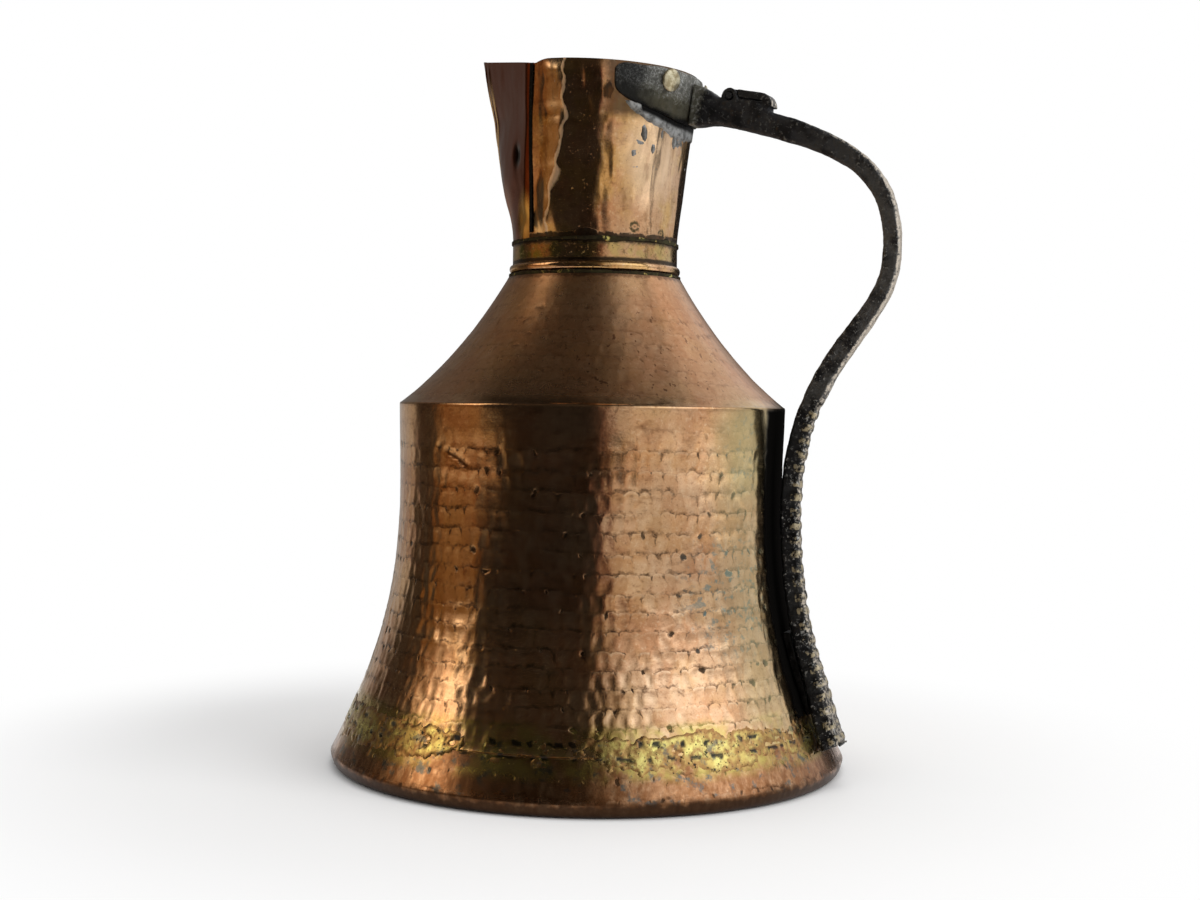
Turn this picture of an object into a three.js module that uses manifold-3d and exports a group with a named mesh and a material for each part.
// A hand-raised copper pouring jug: a bell-shaped body on a flat pan, a flared neck of two sheets,
// the front one folded into a spout, and a forged iron handle on a riveted neck strap.
// Millimetres, +Z up. The origin is the middle of the flat base. The handle lies towards +X and the
// spout towards -X, both in the plane Y = 0.

import * as THREE from "three";
import { mergeVertices } from "three/addons/utils/BufferGeometryUtils.js";
import Module from "manifold-3d";

// Body: heights above the table and outside radii.
const BASE_RADIUS = 104;
const BASE_WIDEST_HEIGHT = 5;
const BASE_EDGE_ROUND = 4;
const WAIST_RADIUS = 78;
const WAIST_START_HEIGHT = 115;
const SHOULDER_RADIUS = 78.8;
const SHOULDER_HEIGHT = 145;
const SHOULDER_ROUND = 0.9;
const CONE_TOP_RADIUS = 35.4;
const CONE_TOP_HEIGHT = 196.6;
const FLARE_LEAN = 0.5; // outward lean of the wall just above the base, radius per height
const FLARE_LEAN_HEIGHT = 45; // how far up that lean pulls the wall's curve
const WAIST_PULL_HEIGHT = 39; // how far down the straight waist pulls it
const CONE_FOOT_SLOPE = 1.3; // radius lost per millimetre of height at the shoulder
const CONE_FOOT_HEIGHT = 18.5; // height over which that slope is aimed
const BODY_SHEET = 1.4;
const PAN_FLOOR = 1.8;

// Brazed seam between the pan's upturned edge and the wall.
const SEAM_HEIGHT = 20;
const SEAM_BAND_BELOW = 6;
const SEAM_BAND_ABOVE = 6.5;
const SEAM_BAND_THICKNESS = 0.45;

// Neck: collar with its bead, then the flared sheets up to the rim.
const COLLAR_RADIUS = 33.6;
const COLLAR_HEIGHT = 13.4;
const COLLAR_SHEET = 1.3;
const BEAD_HALF_HEIGHT = 1.7;
const BEAD_PROUD = 1.3;
const BRAZE_RING_HEIGHT = 0.8;
const BRAZE_RING_INSET = 0.5;
const NECK_SHEET = 1.2;
const RIM_RADIUS = 41.4;
const NECK_WAVE = 0.3; // how much the flare gathers in the middle of the neck
const RIM_HEIGHT = 281;
const RIM_DIP = 3.2; // how much lower the rim lies at the handle

// Spout: the folded front sheet, seen from above as a beak between two seams.
const SPOUT_TIP_REACH = 52.9;
const SPOUT_TIP_HEIGHT = 289;
const SPOUT_EDGE_DROP = 2.3; // how far its edge lies below the rim at the seams
const SPOUT_HALF_ANGLE_TOP = 74; // from the fold to a seam, at the rim
const SPOUT_HALF_ANGLE_FOOT = 63; // and at the collar
const SPOUT_LAP = 4; // how far its edges run under the neck sheet
const SPOUT_SHEET = 1.1;
const SPOUT_FOLD_ROUND = 0.04; // blunt share of the half width at the tip
const SPOUT_FOOT_ROUND = 1.2; // and at the collar
const SPOUT_SHARP_SHARE = 0.75; // share of the neck's height at which the fold is sharp
const SPOUT_BEAK_SHARE = 0.3; // and at which the round foot has become a beak
const SPOUT_JOGGLE_SHARE = 0.18; // share of the half width in which the edge steps inwards
const SPOUT_BELLY_REACH = 39.3; // where the fold would turn, from the axis,
const SPOUT_BELLY_HEIGHT = 6.5; // and above the neck's foot

// Solder along the two seams of the spout.
const SEAM_SOLDER_WIDTH = 2.2;
const SEAM_SOLDER_THICKNESS = 0.5;

// Iron strap round the neck under the rim, with its two rivets and the solder below it.
const STRAP_THICKNESS = 2.2;
const STRAP_TOP_DROP = 0.8;
const STRAP_HEIGHT = 19.6;
const STRAP_HALF_ANGLE = 57;
const STRAP_END_ROUND = 9;
const STRAP_TOP_ROUND = 4;
const RIVET_ANGLE = 25;
const RIVET_DROP = 8.5;
const RIVET_HEAD_RADIUS = 4.6;
const RIVET_HEAD_HEIGHT = 1.8;
const RIVET_SHANK_RADIUS = 2;
const RIVET_PEEN_RADIUS = 3.1;
const RIVET_PEEN_HEIGHT = 1;
const RIVET_PEEN_CROWN = 2.5;
const PATCH_HEIGHT = 7;
const PATCH_THICKNESS = 0.6;
const PATCH_HALF_ANGLE = 42;
const PATCH_FADE = 0.6; // share of its height that it loses towards its ends

// Forged handle bar. Widths lie across it, thicknesses in the plane of its bend.
const ROOT_DROP = 15.9; // below the rim, at the strap
const HANDLE_REACH = 123.9; // axis of the jug to the middle of the grip
const GRIP_HEIGHT = 206;
const ARM_RUN = 56; // how far the arm aims out from the strap
const ARM_FALL = 15;
const BEND_PULL_UP = 37.5;
const BEND_PULL_DOWN = 31;
const WALL_JOIN_HEIGHT = 105; // where the bar turns to run down along the wall
const WALL_JOIN_PULL = 62;
const WALL_GAP = 3.3;
const FOOT_HEIGHT = 15;
const FOOT_RUN = 26; // height over which the gap closes to the foot
const ROOT_THICKNESS = 17;
const ARM_THICKNESS = 10;
const GRIP_THICKNESS = 6.8;
const REVERSE_THICKNESS = 8; // where the bend turns back, halfway from the grip to the wall
const LOWER_THICKNESS = 8.1;
const FOOT_THICKNESS = 7.6;
const ROOT_WIDTH = 10;
const ARM_WIDTH = 8.4;
const GRIP_WIDTH = 6.2;
const LOWER_WIDTH = 6;
const FOOT_WIDTH = 14;
const SPREAD_WIDTH = 7.5; // where it starts to spread towards the foot,
const SPREAD_SHARE = 0.55; // as a share of the stretch along the wall
const ROOT_TAPER_RUN = 14;
const ROOT_START = 3; // how far inside the strap's face its route starts
const BAR_CHAMFER = 1;
const BITE_PITCH = 8;
const BITE_DEPTH = 0.9;
const BITE_TOP_HEIGHT = 150;
const FOOT_SOLDER_TOP = 58;
const FOOT_SOLDER_WIDTH = 7;

// What is left of the lid's hinge on top of the arm.
const HINGE_OFFSET = 16; // from the strap's outside to the pin
const PIN_RADIUS = 1.3;
const PIN_PROUD = 0.4;
const KNUCKLE_RADIUS = 3.2;
const KNUCKLE_WIDTH = 3.6;
const KNUCKLE_SINK = 1.2; // how deep its round lies in the arm
const EAR_THICKNESS = 2;
const EAR_RADIUS = 3.4;
const EAR_SPREAD = 1; // how far its foot flares out before and behind
const LEAF_LENGTH = 16.2;
const LEAF_WIDTH = 7.4;
const LEAF_THICKNESS = 3;
const LEAF_CURL = 4.4;
const SADDLE_EASE = 1; // run over which the arm rises to the leaf's seat
const LEAF_SLOPE = 11; // degrees that the folded-back leaf falls away from the neck

// Gaps that touching, turning and lapping pieces keep.
const SEAT_GAP = 0.3;
const PIN_CLEARANCE = 0.2;
const SIDE_CLEARANCE = 0.3;

// How far the seam's skin stands out from the wall.
const SEAM_PROUD = SEAT_GAP + SEAM_BAND_THICKNESS;

// How finely round stretches are cut.
const ROUND_SIDES = 60;
const SMALL_SIDES = 20;
const ROUTE_SAMPLES = 400;

const wasm = await Module();
wasm.setup();

const rad = THREE.MathUtils.degToRad;
const mix = THREE.MathUtils.lerp;
const smooth = THREE.MathUtils.smoothstep;

// Materials
const copper = () => new THREE.MeshStandardMaterial({ color: 0xa8643c, roughness: 0.35, metalness: 1 });
const brass = () => new THREE.MeshStandardMaterial({ color: 0xb39a3e, roughness: 0.45, metalness: 1 });
const iron = () => new THREE.MeshStandardMaterial({ color: 0x35343a, roughness: 0.7, metalness: 0.8 });
const tinnedIron = () => new THREE.MeshStandardMaterial({ color: 0x6e6f66, roughness: 0.5, metalness: 0.9 });
const solder = () => new THREE.MeshStandardMaterial({ color: 0x7d8083, roughness: 0.55, metalness: 0.8 });
const paleBrass = () => new THREE.MeshStandardMaterial({ color: 0xc9bf9c, roughness: 0.4, metalness: 1 });

const jug = new THREE.Group();

function addPiece(name, geometry, material) {
  const mesh = new THREE.Mesh(geometry, material);
  mesh.name = name;
  jug.add(mesh);
  return mesh;
}

// Solid joins and cuts
function toSolid(geometry) {
  const bare = geometry.clone();
  bare.deleteAttribute("normal");
  bare.deleteAttribute("uv");
  const merged = mergeVertices(bare, 1e-4);
  return new wasm.Manifold(
    new wasm.Mesh({
      numProp: 3,
      vertProperties: merged.attributes.position.array,
      triVerts: new Uint32Array(merged.index.array),
    }),
  );
}

function toGeometry(made) {
  const mesh = made.getMesh();
  const geometry = new THREE.BufferGeometry();
  geometry.setAttribute("position", new THREE.BufferAttribute(mesh.vertProperties, 3));
  geometry.setIndex(new THREE.BufferAttribute(mesh.triVerts, 1));
  geometry.computeVertexNormals();
  return geometry;
}

// A box of sheet metal bent to any shape: place(across, up, through) gives each corner's point,
// with across from -1 to 1, up from 0 to 1 and through from 0 on the outer face to 1 on the inner.
function bentPlate(place, across, up) {
  const geometry = new THREE.BoxGeometry(2, 1, 1, across, up, 1);
  const points = geometry.attributes.position;
  for (let i = 0; i < points.count; i += 1) {
    const point = place(points.getX(i), points.getY(i) + 0.5, points.getZ(i) + 0.5);
    points.setXYZ(i, point.x, point.y, point.z);
  }
  return geometry;
}

// A closed outline of [radius, height] pairs, turned round the jug's axis.
function turned(outline, sides = ROUND_SIDES) {
  const points = outline.map(([radius, height]) => new THREE.Vector2(radius, height));
  points.push(points[0].clone());
  const geometry = new THREE.LatheGeometry(points, sides);
  geometry.rotateX(Math.PI / 2);
  return geometry;
}

const curvePoints = (curve, count) => curve.getPoints(count).map((point) => [point.x, point.y]);

// Point at a radius, an angle from +X in degrees and a height.
function polar(radius, angle, height) {
  return new THREE.Vector3(radius * Math.cos(rad(angle)), radius * Math.sin(rad(angle)), height);
}

// Outer outline of the body, as curves of (radius, height)
const bellCurve = new THREE.CubicBezierCurve(
  new THREE.Vector2(BASE_RADIUS, BASE_WIDEST_HEIGHT),
  new THREE.Vector2(BASE_RADIUS - FLARE_LEAN * FLARE_LEAN_HEIGHT, BASE_WIDEST_HEIGHT + FLARE_LEAN_HEIGHT),
  new THREE.Vector2(WAIST_RADIUS, WAIST_START_HEIGHT - WAIST_PULL_HEIGHT),
  new THREE.Vector2(WAIST_RADIUS, WAIST_START_HEIGHT),
);
const coneCurve = new THREE.QuadraticBezierCurve(
  new THREE.Vector2(SHOULDER_RADIUS - SHOULDER_ROUND, SHOULDER_HEIGHT + SHOULDER_ROUND / 2),
  new THREE.Vector2(SHOULDER_RADIUS - CONE_FOOT_SLOPE * CONE_FOOT_HEIGHT, SHOULDER_HEIGHT + CONE_FOOT_HEIGHT),
  new THREE.Vector2(CONE_TOP_RADIUS, CONE_TOP_HEIGHT),
);

// Where along the bell curve a height lies, found by halving.
function bellShareAt(height) {
  let low = 0;
  let high = 1;
  for (let step = 0; step < 40; step += 1) {
    const middle = (low + high) / 2;
    if (bellCurve.getPoint(middle).y < height) low = middle;
    else high = middle;
  }
  return low;
}

// Outside radius of the wall at a height, below the shoulder.
function wallRadius(height) {
  if (height >= WAIST_START_HEIGHT) {
    const share = (height - WAIST_START_HEIGHT) / (SHOULDER_HEIGHT - WAIST_START_HEIGHT);
    return mix(WAIST_RADIUS, SHOULDER_RADIUS, share);
  }
  return bellCurve.getPoint(bellShareAt(height)).x;
}

function bellStretch(from, to, count) {
  const points = [];
  for (let step = 0; step <= count; step += 1) {
    const height = mix(from, to, step / count);
    points.push([wallRadius(height), height]);
  }
  return points;
}

const inset = (points, depth) => points.map(([radius, height]) => [radius - depth, height]);

// Pan with its flat floor and upturned edge
function basePan() {
  const top = SEAM_HEIGHT - SEAT_GAP / 2;
  const floorEdge = BASE_RADIUS - BASE_EDGE_ROUND;
  const edge = new THREE.QuadraticBezierCurve(
    new THREE.Vector2(floorEdge, 0),
    new THREE.Vector2(BASE_RADIUS - BASE_EDGE_ROUND / 4, 0),
    new THREE.Vector2(BASE_RADIUS, BASE_WIDEST_HEIGHT),
  );
  const outside = bellStretch(BASE_WIDEST_HEIGHT, top, 3).slice(1);
  const innerFoot = PAN_FLOOR + BASE_WIDEST_HEIGHT;
  const inside = inset(bellStretch(innerFoot, top, 3), BODY_SHEET).reverse();
  const outline = [
    [0, 0],
    ...curvePoints(edge, 5),
    ...outside,
    ...inside,
    [floorEdge, PAN_FLOOR],
    [0, PAN_FLOOR],
  ];
  return new THREE.LatheGeometry(outline.map(([x, y]) => new THREE.Vector2(x, y)), ROUND_SIDES).rotateX(
    Math.PI / 2,
  );
}

// Skin of spelter over the seam
function baseSeamBraze() {
  const low = SEAM_HEIGHT - SEAM_BAND_BELOW;
  const high = SEAM_HEIGHT + SEAM_BAND_ABOVE;
  const under = inset(bellStretch(low, high, 4), -SEAT_GAP);
  const over = inset(bellStretch(low, high, 4), -SEAM_PROUD);
  return turned([...over, ...under.reverse()]);
}

// Bell wall and shoulder cone, raised from one sheet
function bodyShell() {
  const low = SEAM_HEIGHT + SEAT_GAP / 2;
  const wall = bellStretch(low, WAIST_START_HEIGHT, 8);
  const shoulder = [
    [wallRadius(SHOULDER_HEIGHT - SHOULDER_ROUND), SHOULDER_HEIGHT - SHOULDER_ROUND],
    [SHOULDER_RADIUS - SHOULDER_ROUND / 4, SHOULDER_HEIGHT],
  ];
  const cone = curvePoints(coneCurve, 6);
  const innerCone = inset(cone, BODY_SHEET);
  const innerWall = inset(bellStretch(low, WAIST_START_HEIGHT, 8), BODY_SHEET);
  const innerShoulder = [
    [SHOULDER_RADIUS - BODY_SHEET, SHOULDER_HEIGHT - BODY_SHEET],
    [SHOULDER_RADIUS - BODY_SHEET - SHOULDER_ROUND, SHOULDER_HEIGHT - SHOULDER_ROUND / 2],
  ];
  return turned([
    ...wall,
    ...shoulder,
    ...cone,
    ...innerCone.slice(1).reverse(),
    ...innerShoulder.reverse(),
    ...innerWall.reverse(),
  ]);
}

// Collar between cone and neck, with a half-round bead at its foot
const LOWER_BRAZE_FOOT = CONE_TOP_HEIGHT + SEAT_GAP;
const COLLAR_FOOT = LOWER_BRAZE_FOOT + BRAZE_RING_HEIGHT + SEAT_GAP;
const COLLAR_TOP = COLLAR_FOOT + COLLAR_HEIGHT;
const UPPER_BRAZE_FOOT = COLLAR_TOP + SEAT_GAP;
const NECK_FOOT = UPPER_BRAZE_FOOT + BRAZE_RING_HEIGHT + SEAT_GAP;

function neckCollar() {
  const inner = COLLAR_RADIUS - COLLAR_SHEET;
  const beadMiddle = COLLAR_FOOT + BEAD_HALF_HEIGHT;
  const bead = [];
  const beadSteps = 6;
  for (let step = 0; step <= beadSteps; step += 1) {
    const turn = Math.PI * (step / beadSteps - 0.5);
    bead.push([
      COLLAR_RADIUS + BEAD_PROUD * Math.cos(turn),
      beadMiddle + BEAD_HALF_HEIGHT * Math.sin(turn),
    ]);
  }
  return turned([
    ...bead,
    [COLLAR_RADIUS, COLLAR_TOP],
    [inner, COLLAR_TOP],
    [inner, COLLAR_FOOT],
  ]);
}

// Thin ring of brass in a groove
function brazeRing(foot, outer) {
  const inner = outer - COLLAR_SHEET;
  return turned([
    [outer, foot],
    [outer, foot + BRAZE_RING_HEIGHT],
    [inner, foot + BRAZE_RING_HEIGHT],
    [inner, foot],
  ]);
}

// Neck
const neckShare = (height) => (height - NECK_FOOT) / (RIM_HEIGHT - NECK_FOOT);

// Height of the rim at an angle from the handle.
const rimHeight = (angle) => RIM_HEIGHT - (RIM_DIP * (1 + Math.cos(rad(angle)))) / 2;

// Outside radius of the neck: nearly a cone, a little fuller in its upper half.
function neckRadius(height) {
  const share = neckShare(height);
  return mix(COLLAR_RADIUS, RIM_RADIUS, mix(share, smooth(share, 0, 1), NECK_WAVE));
}

// Angle from the fold to a seam at a share of the neck's height.
const seamAngle = (share) => mix(SPOUT_HALF_ANGLE_FOOT, SPOUT_HALF_ANGLE_TOP, share);

// Back sheet of the neck, open at the front from seam to seam
function neckSheet() {
  return bentPlate(
    (across, up, through) => {
      const angle = across * (180 - seamAngle(up));
      const height = mix(NECK_FOOT, rimHeight(angle), up);
      return polar(neckRadius(height) - through * NECK_SHEET, -angle, height);
    },
    36,
    6,
  );
}

// How far the fold lies from the jug's axis at a share of the neck's height, and beyond it at the tip:
// a curve that leaves the collar steeply and straightens towards the tip.
function foldReach(share) {
  const turnShare = SPOUT_BELLY_HEIGHT / (RIM_HEIGHT - NECK_FOOT);
  const bend = neckShare(SPOUT_TIP_HEIGHT) - 2 * turnShare;
  const along = (Math.sqrt(turnShare ** 2 + bend * Math.max(share, 0)) - turnShare) / bend;
  const back = 1 - along;
  return back ** 2 * COLLAR_RADIUS + 2 * along * back * SPOUT_BELLY_REACH + along ** 2 * SPOUT_TIP_REACH;
}

// Outer face of the spout sheet as seen from above: x towards the tip, y across.
function spoutPlan(across, share) {
  const seam = rad(seamAngle(Math.min(share, 1)));
  const radius = neckRadius(mix(NECK_FOOT, RIM_HEIGHT, Math.min(share, 1)));
  const half = radius * Math.sin(seam);
  const side = Math.abs(across);
  const reach = foldReach(share);
  const seamReach = radius * Math.cos(seam);
  const blunt = mix(SPOUT_FOOT_ROUND, SPOUT_FOLD_ROUND, smooth(share, 0, SPOUT_SHARP_SHARE));
  const fall = (Math.hypot(side, blunt) - blunt) / (Math.hypot(1, blunt) - blunt);
  const beak = reach - (reach - seamReach) * fall;
  const round = Math.sqrt(radius ** 2 - (side * half) ** 2);
  return new THREE.Vector2(mix(round, beak, smooth(share, 0, SPOUT_BEAK_SHARE)), across * half);
}

// Folded front sheet, its two long edges joggled under the neck sheet
function spoutSheet() {
  const seen = 0.88; // share of the plate's half width that shows in front of the seams
  const tuck = NECK_SHEET + SEAT_GAP;
  return bentPlate(
    (across, up, through) => {
      const side = Math.min(Math.abs(across) / seen, 1);
      const edge = mix(SPOUT_TIP_HEIGHT, RIM_HEIGHT - SPOUT_EDGE_DROP, side);
      const height = mix(NECK_FOOT, edge, up);
      const share = neckShare(height);
      const sign = Math.sign(across);
      const under = Math.max(Math.abs(across) - seen, 0) / (1 - seen);
      if (under > 0) {
        const radius = neckRadius(height) - tuck - through * SPOUT_SHEET;
        const lap = THREE.MathUtils.radToDeg((under * SPOUT_LAP) / radius);
        return polar(radius, 180 - sign * (seamAngle(share) + lap), height);
      }
      const here = spoutPlan(sign * side, share);
      const step = 0.01;
      const before = spoutPlan(sign * side - step, share);
      const after = spoutPlan(sign * side + step, share);
      const normal = new THREE.Vector2(after.y - before.y, before.x - after.x).normalize();
      const depth = tuck * smooth(side, 1 - SPOUT_JOGGLE_SHARE, 1) + through * SPOUT_SHEET;
      here.addScaledVector(normal, -depth);
      return new THREE.Vector3(-here.x, here.y, height);
    },
    26,
    10,
  );
}

// Bead of solder on the outside of a seam, on the spout's side of the neck sheet's edge
function seamSolder(sign) {
  return bentPlate(
    (across, up, through) => {
      const height = mix(NECK_FOOT, RIM_HEIGHT - SPOUT_EDGE_DROP, up);
      const share = neckShare(height);
      const radius = neckRadius(height) + SEAT_GAP + (1 - through) * SEAM_SOLDER_THICKNESS;
      const spread = THREE.MathUtils.radToDeg(SEAM_SOLDER_WIDTH / 2 / radius);
      const middle = seamAngle(share) + spread + SEAT_GAP;
      return polar(radius, 180 - sign * middle - across * spread, height);
    },
    1,
    6,
  );
}

// Iron strap
const STRAP_TOP = rimHeight(0) - STRAP_TOP_DROP;
const STRAP_FOOT = STRAP_TOP - STRAP_HEIGHT;
const strapInner = (height) => neckRadius(height) + SEAT_GAP;
const strapOuter = (height) => strapInner(height) + STRAP_THICKNESS;

// How much a rounded corner of that radius takes off a plate's edge at a distance from its end.
function cornerCut(fromEnd, radius) {
  const into = Math.max(radius - fromEnd, 0);
  return radius - Math.sqrt(Math.max(radius ** 2 - into ** 2, 0));
}

function neckStrap() {
  const middleRadius = strapOuter((STRAP_TOP + STRAP_FOOT) / 2);
  const halfLength = rad(STRAP_HALF_ANGLE) * middleRadius;
  const plate = bentPlate(
    (across, up, through) => {
      const bunched = Math.sign(across) * Math.sin((Math.abs(across) * Math.PI) / 2);
      const fromEnd = halfLength * (1 - Math.abs(bunched));
      const angle = bunched * STRAP_HALF_ANGLE;
      const low = STRAP_FOOT + cornerCut(fromEnd, STRAP_END_ROUND);
      const high = rimHeight(angle) - STRAP_TOP_DROP - cornerCut(fromEnd, STRAP_TOP_ROUND);
      const height = mix(low, high, up);
      const radius = mix(strapOuter(height), strapInner(height), through);
      return polar(radius, -angle, height);
    },
    28,
    3,
  );
  return toGeometry(cutRivetHoles(toSolid(plate)));
}

// Rivets through strap and neck sheet, square to the sheet where they sit
const RIVET_HEIGHT = RIM_HEIGHT - RIVET_DROP;
const rivetTilt = Math.atan(
  (neckRadius(RIVET_HEIGHT + RIVET_HEAD_RADIUS) - neckRadius(RIVET_HEIGHT - RIVET_HEAD_RADIUS)) /
    (2 * RIVET_HEAD_RADIUS),
);

function placeRivet(geometry, side) {
  geometry.rotateZ(-Math.PI / 2);
  geometry.rotateY(rivetTilt);
  geometry.translate(strapOuter(RIVET_HEIGHT), 0, RIVET_HEIGHT);
  geometry.rotateZ(rad(side * RIVET_ANGLE));
  return geometry;
}

function cutRivetHoles(made) {
  const reach = 2 * (STRAP_THICKNESS + NECK_SHEET + SEAT_GAP + RIVET_HEAD_HEIGHT);
  let left = made;
  for (const side of [-1, 1]) {
    const hole = new THREE.CylinderGeometry(
      RIVET_SHANK_RADIUS + SEAT_GAP,
      RIVET_SHANK_RADIUS + SEAT_GAP,
      reach,
      SMALL_SIDES,
    );
    left = left.subtract(toSolid(placeRivet(hole, side)));
  }
  return left;
}

function strapRivet(side) {
  const grip = STRAP_THICKNESS + NECK_SHEET + SEAT_GAP;
  const under = SEAT_GAP;
  const inside = -grip - 2 * SEAT_GAP;
  const dome = new THREE.EllipseCurve(0, under, RIVET_HEAD_RADIUS, RIVET_HEAD_HEIGHT, 0, Math.PI / 2);
  const outline = [
    [0, inside - RIVET_PEEN_HEIGHT],
    [RIVET_PEEN_CROWN, inside - RIVET_PEEN_HEIGHT],
    [RIVET_PEEN_RADIUS, inside],
    [RIVET_SHANK_RADIUS, inside],
    [RIVET_SHANK_RADIUS, under],
    ...curvePoints(dome, 6).map(([x, y]) => [Math.max(x, 0), y]),
  ];
  outline[outline.length - 1][0] = 0;
  const turnedRivet = new THREE.LatheGeometry(
    outline.map(([x, y]) => new THREE.Vector2(x, y)),
    SMALL_SIDES,
  );
  return placeRivet(turnedRivet, side);
}

// Solder that ran out on the neck below the strap
function strapSolder() {
  const top = STRAP_FOOT - SEAT_GAP;
  return bentPlate(
    (across, up, through) => {
      const fade = 1 - PATCH_FADE * across ** 2;
      const height = mix(top - PATCH_HEIGHT * fade, top, up);
      const radius = strapInner(height) + (1 - through) * PATCH_THICKNESS;
      return polar(radius, -across * PATCH_HALF_ANGLE, height);
    },
    14,
    1,
  );
}

// Route of the handle bar's middle line in the plane Y = 0, as (distance from the axis, height)
const ROOT_HEIGHT = RIM_HEIGHT - ROOT_DROP;
const STRAP_FACE = strapOuter(ROOT_HEIGHT);

// Slope of the wall at a height, as radius lost per millimetre of height.
function wallLean(height) {
  const step = 0.5;
  return (wallRadius(height - step) - wallRadius(height + step)) / (2 * step);
}

// Middle line of the bar where it runs along the wall.
function besideWall(height) {
  const gap = mix(SEAM_PROUD + SEAT_GAP, WALL_GAP, smooth(height, FOOT_HEIGHT, FOOT_HEIGHT + FOOT_RUN));
  const thickness = mix(FOOT_THICKNESS, LOWER_THICKNESS, smooth(height, FOOT_HEIGHT, WALL_JOIN_HEIGHT));
  const away = gap + thickness / 2;
  const stretch = Math.hypot(1, wallLean(height));
  return [wallRadius(height) + away * stretch, height];
}

function handleRoute() {
  const join = besideWall(WALL_JOIN_HEIGHT);
  const arm = new THREE.CubicBezierCurve(
    new THREE.Vector2(STRAP_FACE - ROOT_START, ROOT_HEIGHT + (ROOT_START * ARM_FALL) / ARM_RUN),
    new THREE.Vector2(STRAP_FACE + ARM_RUN, ROOT_HEIGHT - ARM_FALL),
    new THREE.Vector2(HANDLE_REACH, GRIP_HEIGHT + BEND_PULL_UP),
    new THREE.Vector2(HANDLE_REACH, GRIP_HEIGHT),
  );
  const back = new THREE.CubicBezierCurve(
    new THREE.Vector2(HANDLE_REACH, GRIP_HEIGHT),
    new THREE.Vector2(HANDLE_REACH, GRIP_HEIGHT - BEND_PULL_DOWN),
    new THREE.Vector2(join[0], WALL_JOIN_HEIGHT + WALL_JOIN_PULL),
    new THREE.Vector2(join[0], WALL_JOIN_HEIGHT),
  );
  const lower = [];
  const lowerSteps = 10;
  for (let step = 1; step <= lowerSteps; step += 1) {
    lower.push(besideWall(mix(WALL_JOIN_HEIGHT, FOOT_HEIGHT, step / lowerSteps)));
  }
  const route = [...curvePoints(arm, 10), ...curvePoints(back, 10).slice(1), ...lower];
  return new THREE.CatmullRomCurve3(route.map(([x, z]) => new THREE.Vector3(x, 0, z)));
}

// Value at a place, straight between stations of [place, value].
function between(stations, place) {
  for (let i = 1; i < stations.length; i += 1) {
    const [end, last] = stations[i];
    if (place <= end) {
      const [start, first] = stations[i - 1];
      return mix(first, last, smooth(place, start, end));
    }
  }
  return stations[stations.length - 1][1];
}

// Length along the route at which it first reaches a place that the test accepts.
function lengthWhere(samples, test) {
  const found = samples.find((sample) => test(sample.point));
  return found.length;
}

function sampleRoute(route, count) {
  const total = route.getLength();
  return route
    .getSpacedPoints(count)
    .map((point, index) => ({ point, length: (total * index) / count }));
}

const handleCurve = handleRoute();
const handleLength = handleCurve.getLength();
const fineRoute = sampleRoute(handleCurve, ROUTE_SAMPLES);
const gripAt = lengthWhere(fineRoute, (p) => p.z < GRIP_HEIGHT);
const joinAt = lengthWhere(fineRoute, (p) => p.z < WALL_JOIN_HEIGHT);
const bitesAt = lengthWhere(fineRoute, (p) => p.z < BITE_TOP_HEIGHT);
const faceAt = lengthWhere(fineRoute, (p) => p.x > STRAP_FACE);

const thicknessStations = [
  [faceAt, ROOT_THICKNESS],
  [faceAt + ROOT_TAPER_RUN, ARM_THICKNESS],
  [gripAt, GRIP_THICKNESS],
  [(gripAt + joinAt) / 2, REVERSE_THICKNESS],
  [joinAt, LOWER_THICKNESS],
  [handleLength, FOOT_THICKNESS],
];
const widthStations = [
  [faceAt, ROOT_WIDTH],
  [faceAt + ROOT_TAPER_RUN, ARM_WIDTH],
  [gripAt, GRIP_WIDTH],
  [joinAt, LOWER_WIDTH],
  [mix(joinAt, handleLength, SPREAD_SHARE), SPREAD_WIDTH],
  [handleLength, FOOT_WIDTH],
];

// Hinge: its pin lies over the arm, and the leaf folds back along the saddle behind it.
const PIN_REACH = STRAP_FACE + HINGE_OFFSET;

function armPointAt(reach) {
  return fineRoute.find((sample) => sample.point.x >= reach);
}

const pinSample = armPointAt(PIN_REACH);
const ARM_TOP_AT_PIN = pinSample.point.z + ARM_THICKNESS / 2;
const PIN_HEIGHT = ARM_TOP_AT_PIN + KNUCKLE_RADIUS - KNUCKLE_SINK;
const leafSlope = Math.tan(rad(LEAF_SLOPE));

// Height of the folded-back leaf's upper and lower face at a distance from the jug's axis.
const leafTop = (reach) => PIN_HEIGHT + KNUCKLE_RADIUS - leafSlope * (reach - PIN_REACH);
const leafUnder = (reach) => leafTop(reach) - LEAF_THICKNESS / Math.cos(rad(LEAF_SLOPE));

const TONGUE_END = PIN_REACH + LEAF_LENGTH;
const CURL_TIP = leafTop(TONGUE_END) - LEAF_THICKNESS - LEAF_CURL / 2;

// Extra metal forged up on the arm as the leaf's seat.
function saddleRise(point, armTop) {
  const start = PIN_REACH - EAR_RADIUS;
  const end = TONGUE_END - LEAF_THICKNESS;
  const fromStart = smooth(point.x, start - SADDLE_EASE, start + SADDLE_EASE);
  const toEnd = 1 - smooth(point.x, end - 3 * SADDLE_EASE, end);
  const underPin = PIN_HEIGHT - KNUCKLE_RADIUS - SIDE_CLEARANCE;
  const behindPin = smooth(point.x, PIN_REACH + SADDLE_EASE, PIN_REACH + KNUCKLE_RADIUS + SADDLE_EASE);
  const seat = mix(underPin, leafUnder(point.x) - SEAT_GAP, behindPin);
  return Math.max(seat - armTop, 0) * fromStart * toEnd;
}

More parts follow.
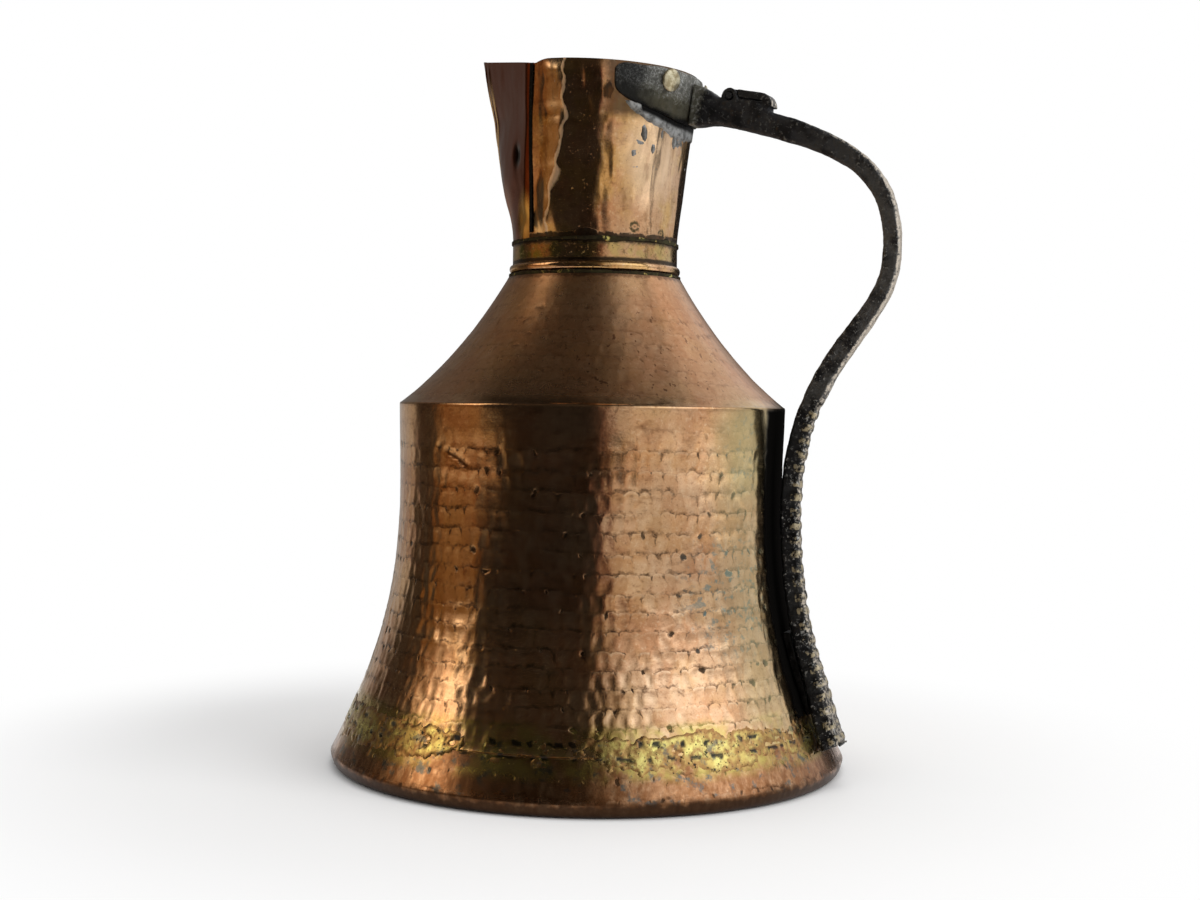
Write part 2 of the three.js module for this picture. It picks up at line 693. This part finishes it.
// Depth of a file bite in the outer edges: high for half of each pitch, none above the bites.
function biteDepth(length) {
  if (length < bitesAt) return 0;
  const place = ((length - bitesAt) / BITE_PITCH) % 1;
  return place < 0.5 ? BITE_DEPTH : 0;
}

// Forged bar: an eight-cornered section carried along the route
function barGeometry() {
  const steps = Math.round((handleLength / BITE_PITCH) * 2);
  const cylinder = new THREE.CylinderGeometry(1, 1, 1, 8, steps);
  const points = cylinder.attributes.position;
  const spaced = handleCurve.getSpacedPoints(steps);
  for (let i = 0; i < points.count; i += 1) {
    const index = Math.round((0.5 - points.getY(i)) * steps);
    const length = (handleLength * index) / steps;
    const middle = spaced[index];
    const ahead = handleCurve.getTangentAt(index / steps);
    const outward = new THREE.Vector3(-ahead.z, 0, ahead.x);
    const turn = Math.atan2(points.getZ(i), points.getX(i)) + Math.PI / 8;
    const across = Math.cos(turn);
    const out = Math.sin(turn);
    const onCap = Math.hypot(points.getX(i), points.getZ(i)) < 0.5;
    const halfWidth = between(widthStations, length) / 2;
    const halfThick = between(thicknessStations, length) / 2;
    const rise = out > 0 ? saddleRise(middle, middle.z + halfThick) : 0;
    const chamfer = BAR_CHAMFER + (out > 0 ? biteDepth(length) : 0);
    const wide = Math.abs(across) > Math.abs(out);
    const y = onCap ? 0 : Math.sign(across) * (halfWidth - (wide ? 0 : chamfer));
    const lift = onCap ? 0 : Math.sign(out) * (halfThick - (wide ? chamfer : 0)) + rise;
    points.setXYZ(i, middle.x + outward.x * lift, y, middle.z + outward.z * lift);
  }
  return cylinder;
}

function crossPin(radius, length, reach, height, sides = SMALL_SIDES) {
  const cylinder = new THREE.CylinderGeometry(radius, radius, length, sides);
  cylinder.translate(reach, 0, height);
  return cylinder;
}

// A side view drawn as (distance from the axis, height), made as thick as width and centred on Y = 0.
function sideCut(shape, width, curveSegments = 12) {
  const geometry = new THREE.ExtrudeGeometry(shape, { depth: width, bevelEnabled: false, curveSegments });
  geometry.rotateX(Math.PI / 2);
  geometry.translate(0, width / 2, 0);
  return geometry;
}

const EARS_WIDTH = KNUCKLE_WIDTH + 2 * SIDE_CLEARANCE + 2 * EAR_THICKNESS;

function earShape() {
  const foot = PIN_HEIGHT - KNUCKLE_RADIUS - ARM_THICKNESS / 2;
  const shape = new THREE.Shape();
  shape.moveTo(PIN_REACH - EAR_RADIUS - EAR_SPREAD, foot);
  shape.lineTo(PIN_REACH + EAR_RADIUS + EAR_SPREAD, foot);
  shape.lineTo(PIN_REACH + EAR_RADIUS, PIN_HEIGHT);
  shape.absarc(PIN_REACH, PIN_HEIGHT, EAR_RADIUS, 0, Math.PI, false);
  shape.lineTo(PIN_REACH - EAR_RADIUS - EAR_SPREAD, foot);
  return shape;
}

function handleBar() {
  let bar = toSolid(barGeometry());
  bar = bar.add(toSolid(sideCut(earShape(), EARS_WIDTH)));
  const slotWidth = KNUCKLE_WIDTH + 2 * SIDE_CLEARANCE;
  const room = KNUCKLE_RADIUS + SIDE_CLEARANCE;
  bar = bar.subtract(toSolid(crossPin(room, slotWidth, PIN_REACH, PIN_HEIGHT)));
  const over = new THREE.BoxGeometry(2 * room, slotWidth, 2 * room);
  over.translate(PIN_REACH, 0, PIN_HEIGHT + room);
  bar = bar.subtract(toSolid(over));
  bar = bar.subtract(toSolid(sideCut(leafRoomShape(PIN_REACH), slotWidth)));
  bar = bar.subtract(toSolid(sideCut(leafRoomShape(PIN_REACH + EAR_RADIUS), 2 * EARS_WIDTH)));
  const bore = PIN_RADIUS + PIN_CLEARANCE;
  bar = bar.subtract(toSolid(crossPin(bore, 2 * EARS_WIDTH, PIN_REACH, PIN_HEIGHT)));
  return toGeometry(bar.subtract(strapRoom()));
}

// Side view of the space that the folded-back leaf and its gap take above the arm, from a distance on.
function leafRoomShape(start) {
  const ceiling = PIN_HEIGHT + 2 * KNUCKLE_RADIUS;
  const hook = TONGUE_END - LEAF_THICKNESS - SEAT_GAP;
  const shape = new THREE.Shape();
  shape.moveTo(start, leafUnder(start) - SEAT_GAP);
  shape.lineTo(hook, leafUnder(hook) - SEAT_GAP);
  shape.lineTo(hook, CURL_TIP - SEAT_GAP);
  shape.lineTo(TONGUE_END + 2 * LEAF_THICKNESS, CURL_TIP - SEAT_GAP);
  shape.lineTo(TONGUE_END + 2 * LEAF_THICKNESS, ceiling);
  shape.lineTo(start, ceiling);
  shape.closePath();
  return shape;
}

// The space that the strap and its gap take, which the bar's root is cut to.
function strapRoom() {
  const low = STRAP_FOOT - 2 * ROOT_THICKNESS;
  const high = STRAP_TOP + ROOT_THICKNESS;
  const outline = [[0, low]];
  const faceSteps = 8;
  for (let step = 0; step <= faceSteps; step += 1) {
    const height = mix(low, high, step / faceSteps);
    outline.push([strapOuter(height) + SEAT_GAP, height]);
  }
  outline.push([0, high]);
  const room = new THREE.LatheGeometry(outline.map(([x, y]) => new THREE.Vector2(x, y)), 4 * ROUND_SIDES);
  return toSolid(room.rotateX(Math.PI / 2));
}

// Solder between the bar's foot and the wall
function footSolder() {
  const low = SEAM_HEIGHT + SEAM_BAND_ABOVE + SEAT_GAP;
  return bentPlate(
    (across, up, through) => {
      const height = mix(low, FOOT_SOLDER_TOP, up);
      const stretch = Math.hypot(1, wallLean(height));
      const inner = wallRadius(height) + SEAT_GAP * stretch;
      const [middle] = besideWall(height);
      const thickness = mix(FOOT_THICKNESS, LOWER_THICKNESS, smooth(height, FOOT_HEIGHT, WALL_JOIN_HEIGHT));
      const outer = middle - (thickness / 2 + SEAT_GAP) * stretch;
      const held = Math.max(outer, inner + SEAT_GAP);
      const radius = mix(held, inner, through);
      return new THREE.Vector3(radius, (-across * FOOT_SOLDER_WIDTH) / 2, height);
    },
    2,
    8,
  );
}

// Hinge pin
function hingePin() {
  return crossPin(PIN_RADIUS, EARS_WIDTH + 2 * PIN_PROUD, PIN_REACH, PIN_HEIGHT);
}

// Leaf of the lid's hinge: a knuckle round the pin, then a flat tongue whose broken end curls down
function hingeLeaf() {
  const tongueStart = PIN_REACH + EAR_RADIUS + SIDE_CLEARANCE;
  const curlStart = TONGUE_END - LEAF_THICKNESS;
  const bend = TONGUE_END + LEAF_THICKNESS / 2;
  const tongue = new THREE.Shape();
  tongue.moveTo(tongueStart, leafUnder(tongueStart));
  tongue.lineTo(curlStart, leafUnder(curlStart));
  tongue.lineTo(TONGUE_END, CURL_TIP);
  tongue.lineTo(bend, CURL_TIP);
  tongue.quadraticCurveTo(bend, leafTop(bend), curlStart, leafTop(curlStart));
  tongue.lineTo(tongueStart, leafTop(tongueStart));
  tongue.closePath();
  const intoTongue = tongueStart + EAR_SPREAD;
  const neck = new THREE.Shape();
  neck.moveTo(PIN_REACH, leafUnder(PIN_REACH));
  neck.lineTo(intoTongue, leafUnder(intoTongue));
  neck.lineTo(intoTongue, leafTop(intoTongue));
  neck.lineTo(PIN_REACH, PIN_HEIGHT + KNUCKLE_RADIUS);
  neck.closePath();
  let leaf = toSolid(crossPin(KNUCKLE_RADIUS, KNUCKLE_WIDTH, PIN_REACH, PIN_HEIGHT));
  leaf = leaf.add(toSolid(sideCut(neck, KNUCKLE_WIDTH)));
  leaf = leaf.add(toSolid(sideCut(tongue, LEAF_WIDTH, 6)));
  const bore = crossPin(PIN_RADIUS + PIN_CLEARANCE, 2 * KNUCKLE_WIDTH, PIN_REACH, PIN_HEIGHT);
  return toGeometry(leaf.subtract(toSolid(bore)));
}

addPiece("base_pan", basePan(), copper());
addPiece("base_seam_braze", baseSeamBraze(), brass());
addPiece("body_shell", bodyShell(), copper());
addPiece("collar_braze_lower", brazeRing(LOWER_BRAZE_FOOT, COLLAR_RADIUS + BRAZE_RING_INSET), brass());
addPiece("neck_collar", neckCollar(), copper());
addPiece("collar_braze_upper", brazeRing(UPPER_BRAZE_FOOT, COLLAR_RADIUS - BRAZE_RING_INSET), brass());
addPiece("neck_sheet", toGeometry(cutRivetHoles(toSolid(neckSheet()))), copper());
addPiece("spout_sheet", spoutSheet(), copper());
addPiece("spout_seam_solder_near", seamSolder(-1), solder());
addPiece("spout_seam_solder_far", seamSolder(1), solder());
addPiece("neck_strap", neckStrap(), tinnedIron());
addPiece("strap_rivet_near", strapRivet(-1), paleBrass());
addPiece("strap_rivet_far", strapRivet(1), paleBrass());
addPiece("strap_solder", strapSolder(), solder());
addPiece("handle_bar", handleBar(), iron());
addPiece("handle_foot_solder", footSolder(), solder());
addPiece("lid_hinge_pin", hingePin(), iron());
addPiece("lid_hinge_leaf", hingeLeaf(), iron());

export default jug;
